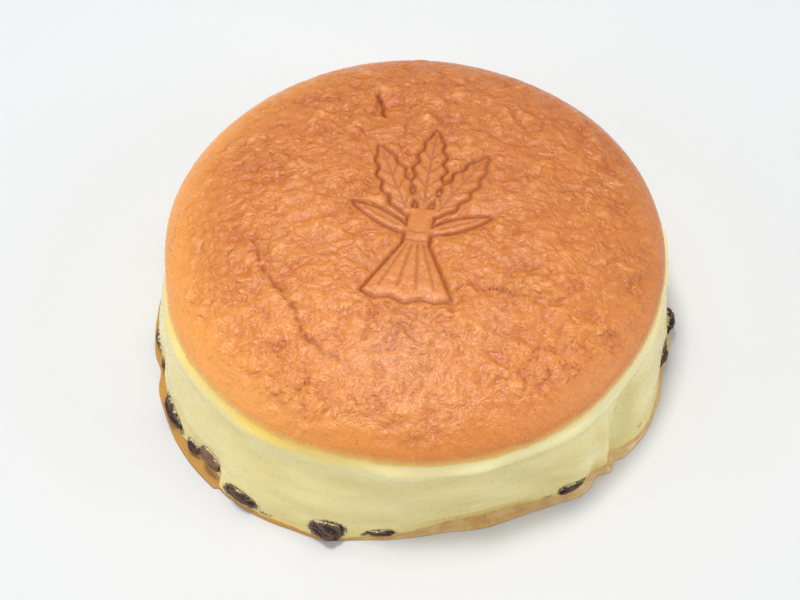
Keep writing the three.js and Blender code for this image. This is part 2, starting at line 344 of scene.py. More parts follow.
# Creases in the crust: points along each, its depth and its half width.
CREASES = (
    (((-50, 0.4), (-52.5, -5), (-51.5, -13), (-47.6, -21.5), (-42.5, -28.6), (-39, -37), (-36, -44),
      (-31, -50), (-25.8, -53.6), (-21, -57)), 1.0, 1.0),
    (((-37, -1), (-42, -6), (-46.5, -7.6), (-51.5, -8)), 0.45, 0.9),
    (((-41, -7.4), (-30.5, -13.3), (-20.7, -18.1), (-13.5, -21.7)), 0.55, 1.3),
    (((11, -30), (18, -28.3), (23.4, -30.6), (29, -32), (33.8, -33.5), (38, -33)), 0.8, 0.7),
    (((-4, 35), (-1.6, 37.3), (0, 44.3), (1.6, 51), (5, 56)), 0.8, 0.8),
    (((-18, 43), (-15.8, 40.2), (-13.4, 37), (-9.2, 35.2), (-4.7, 35.5)), 0.7, 0.8),
    (((-10.6, 59.3), (-8.2, 52.8), (-9, 47.4)), 1.7, 1.2),
    (((-5, -39), (-5.7, -45.4), (-6.1, -49), (-9, -52.5)), 0.7, 1.2),
    (((-13.9, -40.7), (-15.8, -44.2), (-16.5, -47.7)), 0.6, 1.0),
    (((-24.6, 63.6), (-23.1, 56), (-22.7, 49.2)), 0.6, 1.4),
    (((-50.6, 41.6), (-49.6, 34.6), (-47.4, 29.6), (-46.5, 22.3)), 0.6, 0.8),
    (((24, 49.8), (29.6, 47.2), (31.2, 44.1), (34.3, 48.6)), 0.6, 0.7),
    (((28.2, 35.8), (33.6, 32.9), (36.9, 31.1)), 0.5, 0.7),
    (((49.4, 18.5), (51.3, 12.6), (56.3, 7.3), (59.8, 1.5)), 0.55, 0.9),
    (((62, -4.4), (68, -4.9), (70.8, -5.2)), 0.4, 0.6),
    (((47.4, -9.2), (50.3, -11), (52.8, -12.1)), 0.5, 0.6),
    (((33.9, -13.3), (37.1, -14), (41, -15.5)), 0.5, 0.7),
    (((27.3, -24.4), (31.8, -24.4), (37.6, -26.2)), 0.4, 0.7),
    (((0.1, -60.1), (1.3, -62.8), (-0.1, -66), (-2, -67.5)), 0.7, 0.7),
    (((2, -59.5), (4.6, -56.9)), 0.5, 0.7),
    (((18.4, -64.3), (22.1, -60.4), (25.9, -59.3)), 0.45, 0.8),
    (((-35.4, -60.2), (-31.3, -62), (-27.5, -61.7)), 0.5, 0.8),
    (((-15.3, -77.2), (-11.6, -76.9), (-8.5, -76.2)), 0.5, 0.7),
)
SWELLS = ((-38, 8, 0.9, 24), (42, -22, 0.8, 26), (4, 2, -1.1, 30), (-8, 51, -2.6, 7.5))  # x, y, height, reach
CURVE_STEPS = 400
LOBE_FADE = 3  # powers of the way out to the edge: lobes fade inwards, swells fade outwards
SWELL_FADE = 6


def dome_points(angle, share):
    """The smooth dome: share runs along it from 0 at the top to 1 at the crust's edge."""
    turn = np.linspace(np.pi / 2, 0, CURVE_STEPS)
    r = EDGE_RADIUS * np.cos(turn) ** (2 / SHOULDER)
    z = EDGE_HEIGHT + (HEIGHT - EDGE_HEIGHT) * np.sin(turn)
    r[0] = 0
    length = np.concatenate([[0], np.cumsum(np.hypot(np.diff(r), np.diff(z)))])
    length /= length[-1]
    radius, rise = np.interp(share, length, r), np.interp(share, length, z)
    slope_r = np.interp(share, length, np.gradient(r))
    slope_z = np.interp(share, length, np.gradient(z))
    steep = np.hypot(slope_r, slope_z)
    out = radius + lobed(angle, EDGE_LOBES) * (radius / EDGE_RADIUS) ** LOBE_FADE
    across = (np.sin(np.radians(angle)), -np.cos(np.radians(angle)))
    points = np.stack([out * across[0], out * across[1], rise], 1)
    normal = np.stack([-slope_z / steep * across[0], -slope_z / steep * across[1], slope_r / steep], 1)
    for x, y, by, wide in SWELLS:
        away = np.hypot(out * across[0] - x, out * across[1] - y)
        points[:, 2] += by * np.exp(-((away / wide) ** 2)) * (1 - (radius / EDGE_RADIUS) ** SWELL_FADE)
    return points, normal


# The crust's own relief, each kind with its size, height and seed; it dies away at the rim and at the brand.
COBBLES = (4.2, 0.7, 6)
BILLOWS = (9, 0.5, 6)
PUCKERS = (4.6, 0.45, 7)
WRINKLES = (2.3, 0.4, 12)
LEATHER_HEIGHT = 0.85
LEATHER_MIDDLE = 0.2  # the height of the lumps that stays level with the smooth dome
SWAY = (26, 0.3, 8)
WARP = (7, 1.3)
DRAWN = (0.82, 1.1, 1.0)  # the lumps are drawn out from side to side
RIM_SMOOTH = (75, 87)
RIM_WANDER = (22, 5, 4)
PATCHES = (19, 5)
LEAST_LEATHER = 0.12
CREASE_WANDERS = ((5, 1.0, (9, 10)), (2.2, 0.5, (13, 14)))  # size, reach, and a seed for each direction
CREASE_GROOVE = (0.75, 0.6)  # the depth of a crease's groove and of the dip round it, and their half widths
CREASE_DIP = (0.5, 2.4)
CREASE_SHADE = (0.9, 0.5)
BRAND_DEPTH = 0.95
PILLOW_DEPTH = 0.75
FINE_DEPTH = 0.36


def crust_relief(points):
    """How far the crust stands off the smooth dome, how dark its lines are (painted shade in the creases, and
    the brand's own scorch), and where it is leathery.
    """
    x, y = points[:, 0], points[:, 1]
    r = np.hypot(x, y)
    bent = points + np.stack([hills(points, WARP[0], seed) for seed in (1, 2, 3)], 1) * WARP[1]
    cut, pillow, fine, smoothed = branded(x, y)
    drawn = bent * DRAWN
    smooth_rim = 1 - smooth_step(r + RIM_WANDER[1] * hills(points, RIM_WANDER[0], RIM_WANDER[2]), *RIM_SMOOTH)
    patches = 0.6 + 0.4 * smooth_step(hills(points, *PATCHES), -0.5, 0.6)
    leather = np.clip(smooth_rim * patches, LEAST_LEATHER, 1) * (1 - 0.8 * smoothed)
    lumps = COBBLES[1] * cobbles(drawn, COBBLES[0], COBBLES[2])
    for place, (size, height, seed) in ((bent, BILLOWS), (drawn, PUCKERS), (drawn, WRINKLES)):
        lumps = lumps + height * hills(place, size, seed)
    relief = LEATHER_HEIGHT * leather * (lumps - LEATHER_MIDDLE)
    relief = relief + SWAY[1] * hills(points, SWAY[0], SWAY[2]) * (1 - (r / EDGE_RADIUS) ** 4)
    shade = np.zeros(x.shape)
    wander_x, wander_y = [
        sum(reach * hills(points, size, seeds[side]) for size, reach, seeds in CREASE_WANDERS) for side in (0, 1)
    ]
    uneven = np.clip(0.9 + 0.4 * hills(points, 6, 11), 0.2, 1.2)
    for line, depth, wide in CREASES:
        near, along = line_distance(x + wander_x, y + wander_y, line)
        strength = depth * np.clip(4 * np.sin(np.pi * along), 0, 1) * uneven
        groove = CREASE_GROOVE[0] * np.exp(-((near / (CREASE_GROOVE[1] * wide)) ** 2))
        dip = CREASE_DIP[0] * np.exp(-near / (CREASE_DIP[1] * wide))
        relief -= strength * (groove + dip)
        # Each crease gets painted shade, darker the deeper it is.
        dark = CREASE_SHADE[0] * np.exp(-((near / (CREASE_SHADE[1] * wide)) ** 2))
        shade = np.maximum(shade, dark * strength * depth**0.7)
    relief -= BRAND_DEPTH * cut + PILLOW_DEPTH * pillow + FINE_DEPTH * fine * (1 - pillow)
    # The brand's lines are scorched dark in their own colour, and share this mark with the creases' painted
    # shade.
    shade = np.maximum(shade, np.maximum(cut, 0.6 * fine))
    return relief, np.clip(shade, 0, 1), leather, lumps


WALL_FOLDS = (
    (45, 53, 2.8, 4), (36, 4, 1.3, 7), (-128, -112, 1.5, 6), (150, 138, 1.8, 6),
)  # angle at the foot, angle at the top, depth, width
BULGES = (
    (12, 37, 1.3, 6, 2.4), (40, 35, 1.2, 14, 3), (-6, 34, 1.0, 8, 4), (38, 14, 1.0, 7, 9),
    (-70, 30, 0.7, 20, 8),
)  # angle, height, how far out, width, half height
FOLD_REACH = 1.15  # a fold ends a little short of the crust


def wall_features(angle, z):
    """How far the wall's bulges stand out at each point, less how deep its folds are."""
    rise = np.clip(z / EDGE_HEIGHT, 0, 1)
    out = sum(
        by * hump(angle, at, wide) * np.exp(-(((z - height) / tall) ** 2))
        for at, height, by, wide, tall in BULGES
    )
    for at_foot, at_top, depth, wide in WALL_FOLDS:
        middle = at_foot + (at_top - at_foot) * rise
        deep = depth * np.sin(np.pi * np.clip(rise * FOLD_REACH, 0, 1)) ** 0.6
        out = out - deep * hump(angle, middle + wide / 2, wide)
    return out


WALL_BEND = 1.4
RIDGE = (4.6, 3.2, 0.9)  # how far under the crust the ridge is, its half height, and how far it stands out
RIDGE_FADE = 3.4
HOLLOW = (12, 6.5)  # how far under the crust the hollow is, and its half height


def wall_radius(angle, z):
    """The wall between the browned skin and the crust: a low ridge under the crust, with a hollow below it."""
    rise = np.clip(z / EDGE_HEIGHT, 0, 1)
    foot = FOOT_RADIUS - LIP_PROUD + lobed(angle, FOOT_LOBES)
    edge = EDGE_RADIUS + lobed(angle, EDGE_LOBES)
    near_foot, near_edge = (1 - rise) ** WALL_BEND, rise**WALL_BEND
    body = foot * near_foot + edge * near_edge + (1 - near_foot - near_edge) * (foot + edge) / 2
    turn = np.radians(angle)
    stands = RIDGE[2] + 0.45 * np.sin(5 * turn + 0.4) + 0.35 * np.sin(11 * turn + 2.1)
    under = RIDGE[0] + 1.2 * np.sin(7 * turn + 1.0)
    ridge = stands * np.exp(-(((z - EDGE_HEIGHT + under) / RIDGE[1]) ** 2))
    ridge = ridge * smooth_step(EDGE_HEIGHT - z, 0, RIDGE_FADE)
    hollow = np.exp(-(((z - EDGE_HEIGHT + HOLLOW[0]) / HOLLOW[1]) ** 2))
    wide_lip = lobed(angle, WIDE_LIPS) * (1 - rise) ** 2
    return body + ridge + wall_features(angle, z) - hollow - wide_lip


# The dome is a square net of points drawn out into a disc, so that no points crowd at its top, and the wall
# hangs in rows from the net's border.
GRID = 244  # squares each way over the dome
AROUND = 4 * GRID
WALL_ROWS = 31
SKIN_ROWS = 5
RIM_CALM = (0.93, 1.0)  # the crust's relief dies away over the last of the way to its edge

side = np.linspace(-1, 1, GRID + 1)
square_u, square_v = [grid.ravel() for grid in np.meshgrid(side, side, indexing="ij")]
flat_ring = np.maximum(abs(square_u), abs(square_v))
with np.errstate(divide="ignore", invalid="ignore"):
    steep_side = abs(square_u) >= abs(square_v)
    turned = np.where(steep_side, 45 * square_v / square_u, 90 - 45 * square_u / square_v)
turned = np.where(flat_ring == 0, 0, turned)
half_turn = np.where(steep_side, square_u < 0, square_v < 0)
dome_angle = (turned + 180 * half_turn + 90) % 360
dome_share = 0.7 * flat_ring + 0.3 * flat_ring**3

dome_base, dome_normal = dome_points(dome_angle, dome_share)
relief, dome_shade_and_scorch, dome_leather, dome_lumps = crust_relief(dome_base)
relief *= 1 - smooth_step(dome_share, *RIM_CALM)
dome = dome_base + dome_normal * relief[:, None]

# The square's border, walked once round, gives the columns of the wall.
numbers = np.arange((GRID + 1) ** 2).reshape(GRID + 1, GRID + 1)
border = np.concatenate([numbers[-1, :-1], numbers[::-1, -1][:-1], numbers[0, ::-1][:-1], numbers[:-1, 0]])
column = dome_angle[border]

FOOT_Z = LIP_THICK + 0.6
ROWS_AT = ((0, EDGE_HEIGHT), (6, EDGE_HEIGHT - 5), (16, 12), (WALL_ROWS, FOOT_Z))  # row, and its height
wall_z = np.interp(np.arange(1, WALL_ROWS + 1), *zip(*ROWS_AT))

TEAR = (-44, 5, 1.6)  # a tear in the wide lip: its angle, width and depth
TEAR_START = (-45.4, -44.8)
LIP_LEAST, LIP_MOST = 0.3, 5
NOISE_RING = 90  # the radius at which the lip's unevenness is drawn
RAGGED = 0.35  # how far the skin's raggedness shows in its edge
around = np.stack([np.sin(np.radians(column)), -np.cos(np.radians(column))], 1)
ring_points = np.stack([around[:, 0] * NOISE_RING, around[:, 1] * NOISE_RING, np.zeros(AROUND)], 1)
ragged = 0.8 * hills(ring_points, 15, 21, 4)
widening = lobed(column, WIDE_LIPS)
from_front = column - 360 * (column > 180)
torn = TEAR[2] * smooth_step(from_front, *TEAR_START) * hump(column, *TEAR[:2])
proud = LIP_PROUD + widening - torn + 0.35 * hills(ring_points, 26, 23) + 0.3 * ragged
proud = np.clip(proud, LIP_LEAST, LIP_MOST)
lip_edge = FOOT_RADIUS + lobed(column, FOOT_LOBES) + RAGGED * ragged - 0.6 * torn

# Each raisin has pushed a pocket into the wall, with a ragged rim of batter round it.
RAISIN_NODES = sorted(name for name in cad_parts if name.startswith("raisin_"))
RAISIN_DEPTH = 0.95  # of its height


def raisin_place(name):
    """A raisin's middle, its angle, and its length, height and depth, from its node."""
    low, high = [Vector(corner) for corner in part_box(name)]
    middle = ((low + high) / 2 - axis) / MM
    size = (high - low) / MM
    tall = size.z
    deep = RAISIN_DEPTH * tall
    long = np.sqrt(size.x**2 + size.y**2 - deep**2)
    return middle, np.arctan2(middle.x, -middle.y), long, tall, deep


# Dark flecks on the wall; the first is painted shade in a small notch at the skin's upper edge.
FLECKS_AND_NOTCH_SHADE = (
    (11.2, 2.8, 2.0, 1.1, 0.8), (55, 6.5, 2.6, 2.6, 0.62), (-33, 2.2, 4.6, 1.2, 0.8),
    (28.5, 3.2, 4.0, 1.6, 0.7), (5, 3.6, 3.4, 0.8, 0.6),
)  # angle, height, half length, half height, strength
MM_A_DEGREE = 1.6  # round the wall
POCKET_DEPTH = 1.2
POCKET_RIM = (0.6, 1.1)  # in half sizes of the raisin
STAIN_RIM = (0.85, 1.65)


def pockets(points):
    """How far each point of the wall is pushed in by the raisins, and how strongly it is flecked: near a raisin,
    1 at its rim, and at the listed flecks, the first of them painted shade in a notch.
    """
    pushed = np.zeros(len(points))
    angle = np.degrees(np.arctan2(points[:, 0], -points[:, 1]))
    fleck_and_shade = np.zeros(len(points))
    for at, height, half_long, half_tall, strength in FLECKS_AND_NOTCH_SHADE:
        aside, above = (angle - at) * MM_A_DEGREE / half_long, (points[:, 2] - height) / half_tall
        fleck_and_shade += strength * np.exp(-(aside**2) - above**2)
    for name in RAISIN_NODES:
        middle, turn, long, tall, _ = raisin_place(name)
        aside = points[:, 0] * np.cos(turn) + points[:, 1] * np.sin(turn)
        facing = points[:, 0] * middle.x + points[:, 1] * middle.y > 0
        outside = np.hypot(aside / (0.5 * long), (points[:, 2] - middle.z) / (0.5 * tall))
        pushed = np.maximum(pushed, facing * POCKET_DEPTH * (1 - smooth_step(outside, *POCKET_RIM)))
        fleck_and_shade = np.maximum(fleck_and_shade, facing * (1 - smooth_step(outside, *STAIN_RIM)))
    return pushed, fleck_and_shade


RAGGED_UP_TO = 8  # above the foot
UNEVEN = (17, 0.3, 24)  # the wall's broad and small unevenness: size, height, seed
DIMPLED = (6, 0.22, 25)
rows = []
fleck_and_shade_rows = []
for z in wall_z:
    r = wall_radius(column, z)
    points = np.stack([around[:, 0] * r, around[:, 1] * r, np.full(AROUND, z)], 1)
    near_foot = 1 - smooth_step(z, FOOT_Z, FOOT_Z + RAGGED_UP_TO)
    soft = UNEVEN[1] * hills(points * (1, 1, 1.6), UNEVEN[0], UNEVEN[2], 2)
    soft = soft + DIMPLED[1] * hills(points * (0.5, 0.5, 2.2), DIMPLED[0], DIMPLED[2])
    soft = soft * smooth_step(EDGE_HEIGHT - z, 0, 2)
    soft = soft + near_foot * (RAGGED * ragged + LIP_PROUD + widening - proud)
    pushed, fleck_and_shade = pockets(points)
    soft -= pushed
    fleck_and_shade_rows.append(fleck_and_shade)
    points[:, 0] += around[:, 0] * soft
    points[:, 1] += around[:, 1] * soft
    rows.append(points)
for k in range(SKIN_ROWS):
    out = (k + 1) / SKIN_ROWS
    r = lip_edge - proud * (1 - out) ** 1.2
    lift = LIP_THICK + (FOOT_Z - LIP_THICK) * (1 - out) ** 3 - LIP_THICK * 0.75 * out**6
    z = lift + 0.15 * (1 - out**4) * hills(ring_points, 9, 26)
    rows.append(np.stack([around[:, 0] * r, around[:, 1] * r, z], 1))
for inward in (UNDERCUT * 0.35, UNDERCUT):
    r = lip_edge - inward
    rows.append(np.stack([around[:, 0] * r, around[:, 1] * r, np.zeros(AROUND)], 1))

vertices = np.concatenate([dome] + rows + [np.zeros((1, 3))])
first_row = len(dome)
faces = []
for i in range(GRID):
    for j in range(GRID):
        faces.append((numbers[i, j], numbers[i + 1, j], numbers[i + 1, j + 1], numbers[i, j + 1]))
above = border
for k in range(len(rows)):
    below = first_row + k * AROUND + np.arange(AROUND)
    for c in range(AROUND):
        n = (c + 1) % AROUND
        faces.append((above[n], above[c], below[c], below[n]))
    above = below
centre = len(vertices) - 1
faces += [(above[(c + 1) % AROUND], above[c], centre) for c in range(AROUND)]

cake_mesh = bpy.data.meshes.new("cake")
placed = vertices * MM + np.array(axis)
cake_mesh.from_pydata(placed.tolist(), [], [tuple(int(v) for v in face) for face in faces])
cake_mesh.validate()
cake_mesh.update()
cake_mesh.shade_smooth()


def paint(mesh, name, values):
    """Stores one number at each vertex for the material to read."""
    mesh.attributes.new(name, "FLOAT", "POINT").data.foreach_set("value", values.astype(np.float32))


# What each part of the surface is, for the material: how far inside the crust's edge in millimetres, how dark a
# crease's painted shade and the brand's scorch are, how far down the browned skin, where the painted highlight
# and the wall's painted light and shade lie, and the rest.
DOME_ARC = 97.0  # from the top of the dome to the crust's edge, along it
SKIN_FADE = (-0.2, 2.4)  # above the foot, from skin to wall
SKIN_CLIMBS = ((14, 1.6, 12), (50, 0.9, 8), (-26, -1.6, 18))
YOLKY = ((-32, 1.0, 24), (-78, 0.9, 24), (80, 0.5, 20))  # where the wall is most golden under the crust
PAINTED_HIGHLIGHT_AT = (-5, -52, 13)  # the middle of the painted highlight on the front of the crust, and its reach
below_wall = len(vertices) - len(dome) - AROUND * WALL_ROWS


def on_dome(values):
    """Values over the dome, and 0 below it."""
    return np.concatenate([values, np.zeros(len(vertices) - len(dome))])


def on_wall(values, above=0.0, below=0.0):
    """Values down the rows of the wall, with one value for the dome above and one for the skin below."""
    return np.concatenate([np.full(len(dome), above), *values, np.full(below_wall, below)])


from_edge = on_wall([np.full(AROUND, z - EDGE_HEIGHT) for z in wall_z], below=-EDGE_HEIGHT)
from_edge[:len(dome)] = (1 - dome_share) * DOME_ARC
climb = lobed(column, SKIN_CLIMBS)
skin = [1 - smooth_step(z - climb, FOOT_Z + SKIN_FADE[0], FOOT_Z + SKIN_FADE[1]) for z in wall_z]
whole_angle = np.concatenate([dome_angle] + [column] * len(rows) + [[0]])
from_painted_highlight = np.hypot(dome[:, 0] - PAINTED_HIGHLIGHT_AT[0], dome[:, 1] - PAINTED_HIGHLIGHT_AT[1])
paint(cake_mesh, "from_edge", from_edge)
paint(cake_mesh, "crease_shade_and_scorch", on_dome(dome_shade_and_scorch))
paint(cake_mesh, "skin", on_wall(skin, below=1.0))
paint(cake_mesh, "yolk", lobed(whole_angle, YOLKY))
paint(cake_mesh, "lumps", on_dome(dome_lumps))
# The wall's bulges less its folds, for their painted light and shade.
paint(cake_mesh, "bulge_light_fold_shade", on_wall([wall_features(column, z) for z in wall_z]))
paint(cake_mesh, "fleck_and_notch_shade", on_wall(fleck_and_shade_rows))
paint(cake_mesh, "painted_highlight", on_dome(np.exp(-((from_painted_highlight / PAINTED_HIGHLIGHT_AT[2]) ** 2))))
paint(cake_mesh, "leather", on_dome(dome_leather))

# One map for the whole surface: the dome is a disc in the middle, the wall a ring round it, and the
# underside a small disc in a corner.
MAP_MIDDLE = 0.5
MAP_DOME = 0.40
MAP_WALL = 0.095
MAP_CORNER = 0.07
MAP_UNDERSIDE = 0.06
ring = MAP_DOME + MAP_WALL * np.arange(1, len(rows) + 1) / len(rows)
uv_radius = np.concatenate([dome_share * MAP_DOME, np.repeat(ring, AROUND), [0]])
turn = np.radians(whole_angle)
spoke = np.stack([np.sin(turn), -np.cos(turn)], 1)
uv_points = MAP_MIDDLE + uv_radius[:, None] * spoke
uv_points[centre] = MAP_CORNER
underside = MAP_CORNER + MAP_UNDERSIDE * spoke
underside[centre] = MAP_CORNER
loop_vertex = np.zeros(len(cake_mesh.loops), int)
cake_mesh.loops.foreach_get("vertex_index", loop_vertex)
uv = uv_points[loop_vertex]
fan_loops = np.zeros(len(loop_vertex), bool)
for polygon in cake_mesh.polygons[-AROUND:]:
    fan_loops[polygon.loop_start:polygon.loop_start + polygon.loop_total] = True
uv[fan_loops] = underside[loop_vertex[fan_loops]]
cake_mesh.uv_layers.new(name="OFBake").data.foreach_set("uv", uv.ravel())

cake = bpy.data.objects.new("souffle_cake", cake_mesh)
scene.collection.objects.link(cake)


def srgb(red, green, blue):
    """A colour given as 0 to 255 on a screen, as the light that it is."""
    c = np.array([red, green, blue]) / 255
    return (*np.where(c <= 0.04045, c / 12.92, ((c + 0.055) / 1.055) ** 2.4), 1)


FIRST_COLOUR, SECOND_COLOUR, MIXED_COLOUR = 6, 7, 2  # the mix node's sockets for colours


class Recipe:
    """Short ways to add a material's nodes."""

    def __init__(self, name):
        self.material = bpy.data.materials.new(name)
        self.material.use_nodes = True
        self.tree = self.material.node_tree
        self.shader = self.tree.nodes["Principled BSDF"]
        self.place = self.add("ShaderNodeTexCoord").outputs["Object"]

    def add(self, kind, **values):
        """A new node, with its own settings."""
        node = self.tree.nodes.new(kind)
        for key, value in values.items():
            setattr(node, key, value)
        return node

    def feed(self, socket, value):
        """Gives a socket a value, or links it to another node's output."""
        if hasattr(value, "is_linked"):
            self.tree.links.new(value, socket)
        else:
            socket.default_value = value

    def reckon(self, operation, a, b):
        """One step of arithmetic on two values."""
        node = self.add("ShaderNodeMath", operation=operation)
        self.feed(node.inputs[0], a)
        self.feed(node.inputs[1], b)
        return node.outputs[0]

    def plus(self, a, b):
        """The sum of two values."""
        return self.reckon("ADD", a, b)

    def minus(self, a, b):
        """The difference of two values."""
        return self.reckon("SUBTRACT", a, b)

    def times(self, a, b):
        """The product of two values."""
        return self.reckon("MULTIPLY", a, b)

    def ramp(self, value, low, high):
        """Rises smoothly from 0 at low to 1 at high."""
        node = self.add("ShaderNodeMapRange", interpolation_type="SMOOTHSTEP")
        self.feed(node.inputs["Value"], value)
        self.feed(node.inputs["From Min"], low)
        self.feed(node.inputs["From Max"], high)
        return node.outputs["Result"]

    def mix(self, amount, first, second):
        """The first colour, turning into the second as the amount goes from 0 to 1."""
        node = self.add("ShaderNodeMix", data_type="RGBA")
        self.feed(node.inputs["Factor"], amount)
        self.feed(node.inputs[FIRST_COLOUR], first)
        self.feed(node.inputs[SECOND_COLOUR], second)
        return node.outputs[MIXED_COLOUR]

    def tint(self, under, colour, strength, where):
        """Lays a colour over what is under it, at that strength at most."""
        return self.mix(self.times(where, strength), under, colour)

    def mark(self, name):
        """One of the numbers that the mesh was painted with."""
        return self.add("ShaderNodeAttribute", attribute_name=name).outputs["Fac"]

    def coordinate(self, name):
        """One coordinate of the place, in metres."""
        node = self.add("ShaderNodeSeparateXYZ")
        self.feed(node.inputs[0], self.place)
        return node.outputs[name]

    def placed(self, size, stretch, shift, on):
        """The place in cells of a size in millimetres, drawn out along an axis that is stretched."""
        node = self.add("ShaderNodeMapping")
        self.feed(node.inputs["Vector"], on or self.place)
        node.inputs["Scale"].default_value = [1 / MM / size / s for s in stretch]
        node.inputs["Location"].default_value = shift
        return node.outputs[0]

    def grain(self, size, detail=3.0, roughness=0.55, stretch=(1, 1, 1), lean=0.0, on=None):
        """Noise from 0 to 1 whose hills are size millimetres apart; another lean gives other noise."""
        node = self.add("ShaderNodeTexNoise")
        self.feed(node.inputs["Vector"], self.placed(size, stretch, (lean, lean * 0.7, lean * 1.3), on))
        node.inputs["Scale"].default_value = 1.0
        node.inputs["Detail"].default_value = detail
        node.inputs["Roughness"].default_value = roughness
        return node.outputs["Fac"]

    def pits(self, size, lean=0.0, on=None, feature="F1"):
        """Distance from the middles of scattered cells, or from the borders between them."""
        node = self.add("ShaderNodeTexVoronoi", feature=feature)
        self.feed(node.inputs["Vector"], self.placed(size, (1, 1, 1), (lean, lean, lean), on))
        node.inputs["Scale"].default_value = 1.0
        return node.outputs["Distance"]

    def warped(self, place, hills_per_mm, reach, detail):
        """The place, moved about by noise by up to reach millimetres."""
        wander = self.add("ShaderNodeTexNoise")
        self.feed(wander.inputs["Vector"], place)
        wander.inputs["Scale"].default_value = hills_per_mm / MM
        wander.inputs["Detail"].default_value = detail
        moved = self.add("ShaderNodeVectorMath", operation="MULTIPLY_ADD")
        self.feed(moved.inputs[0], wander.outputs["Color"])
        moved.inputs[1].default_value = [reach * MM] * 3
        self.feed(moved.inputs[2], place)
        return moved.outputs[0]

    def bumps(self, height, depth):
        """Adds fine relief, depth in millimetres, on top of what is there."""
        node = self.add("ShaderNodeBump")
        node.inputs["Distance"].default_value = depth * MM
        self.feed(node.inputs["Height"], height)
        previous = self.shader.inputs["Normal"]
        if previous.is_linked:
            self.tree.links.new(previous.links[0].from_socket, node.inputs["Normal"])
        self.tree.links.new(node.outputs["Normal"], previous)


CRUST_LEFT = srgb(218, 131, 46)
CRUST_RIGHT = srgb(202, 118, 40)
CRUST_BACK_PAINTED_SHADE = srgb(190, 106, 38)
CRUST_FRONT_PAINTED_SHEEN = srgb(238, 150, 74)
CRUST_BLOTCH = srgb(209, 121, 40)
CRUST_PAINTED_HIGHLIGHT = srgb(230, 184, 154)
PALE_GRAIN = srgb(236, 156, 84)
DARK_GRAIN = srgb(188, 104, 48)
PALE_SPECK = srgb(250, 186, 126)
DARK_SPECK = srgb(182, 96, 46)
CREASE_SHADE_AND_SCORCH_BROWN = srgb(138, 54, 14)
SUNK_PAINTED_SHADE = srgb(186, 92, 40)
RAISED_PAINTED_LIGHT = srgb(244, 164, 94)
CRACK_PAINTED_SHADE = srgb(178, 82, 34)
EDGE_ORANGE = srgb(246, 166, 72)
EDGE_GOLD = srgb(244, 190, 84)
EDGE_YOLK = srgb(250, 196, 74)
CUSTARD = srgb(243, 228, 162)
CUSTARD_STREAK = srgb(232, 214, 142)
CUSTARD_TOP_PAINTED_LIGHT = srgb(250, 239, 182)
CUSTARD_BULGE_PAINTED_LIGHT = srgb(250, 243, 190)
CUSTARD_FOLD_PAINTED_SHADE = srgb(214, 203, 132)
CUSTARD_FOOT = srgb(226, 204, 118)
YOLK_BAND = srgb(250, 214, 96)
RAISIN_FLECK = srgb(92, 70, 54)
SKIN_LEFT = srgb(194, 142, 52)
SKIN_RIGHT = srgb(228, 192, 126)
SKIN_BLOTCH = srgb(192, 134, 74)
SKIN_GOLD = srgb(230, 198, 104)
CAKE_SHINE = 0.65
CAKE_GLOW = 0.12  # how much light sinks in, how far each colour goes, and the scale of that in metres
GLOW_REACH = (1.0, 0.55, 0.25)
GLOW_SCALE = 0.004


